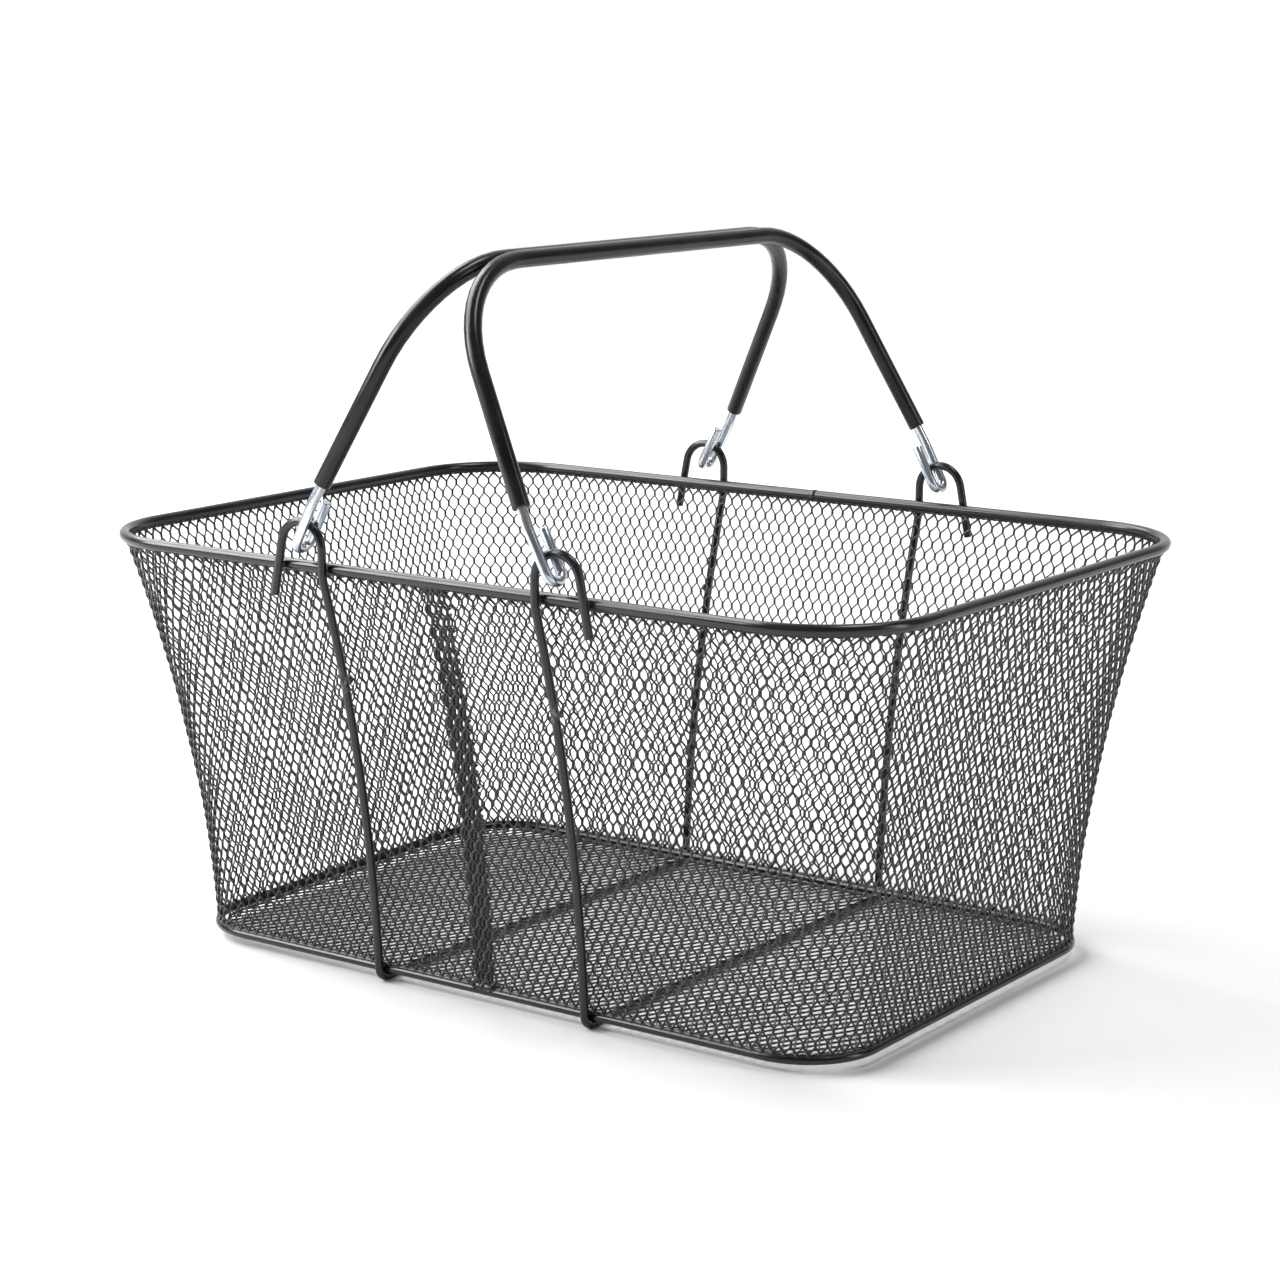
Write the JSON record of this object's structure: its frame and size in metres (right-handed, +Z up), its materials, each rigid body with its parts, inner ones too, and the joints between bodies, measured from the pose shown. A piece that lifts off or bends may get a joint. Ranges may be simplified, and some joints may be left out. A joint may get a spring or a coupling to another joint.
{
  "type": "shopping_basket",
  "caption": "Black wire-mesh shopping basket with tapered rounded walls, a wire rim and two folding bail handles with dark plastic grips.",
  "frame": {"origin": "on the surface that it stands on, under the middle of the basket", "axes": "+X along the long side of the basket, -Y to the front, +Z up; each handle hinges about a line along Y"},
  "size_m": [0.4436, 0.3346, 0.3422],
  "materials": {
    "powder_black": "gloss black powder coat",
    "mesh_black": "gloss black powder coat on expanded steel",
    "zinc_rod": "bright zinc plated wire",
    "grip_pvc": "semi-gloss black PVC tube"
  },
  "bodies": {
    "basket": {"rim_ring": "powder_black", "rim_joint_weld": "powder_black", "base_ring": "powder_black", "base_joint_weld": "powder_black", "wall_mesh": "mesh_black", "seam_welds": "mesh_black", "floor_mesh": "mesh_black", "floor_welds": "powder_black", "support_wire_left": "powder_black", "support_wire_right": "powder_black", "leg_welds": "powder_black", "rim_welds": "powder_black", "base_welds": "powder_black"},
    "left_handle": {"handle_rod_left": "zinc_rod", "grip_left": "grip_pvc"},
    "right_handle": {"handle_rod_right": "zinc_rod", "grip_right": "grip_pvc"}
  },
  "joints": [
    {"name": "left_handle_hinge", "type": "hinge", "parent": "basket", "child": "left_handle", "pos_m": [-0.072, 0, 0.21], "axis": [0, -1, 0], "range_deg": [0, 118.6]},
    {"name": "right_handle_hinge", "type": "hinge", "parent": "basket", "child": "right_handle", "pos_m": [0.072, 0, 0.21], "axis": [0, 1, 0], "range_deg": [0, 118.6]}
  ]
}
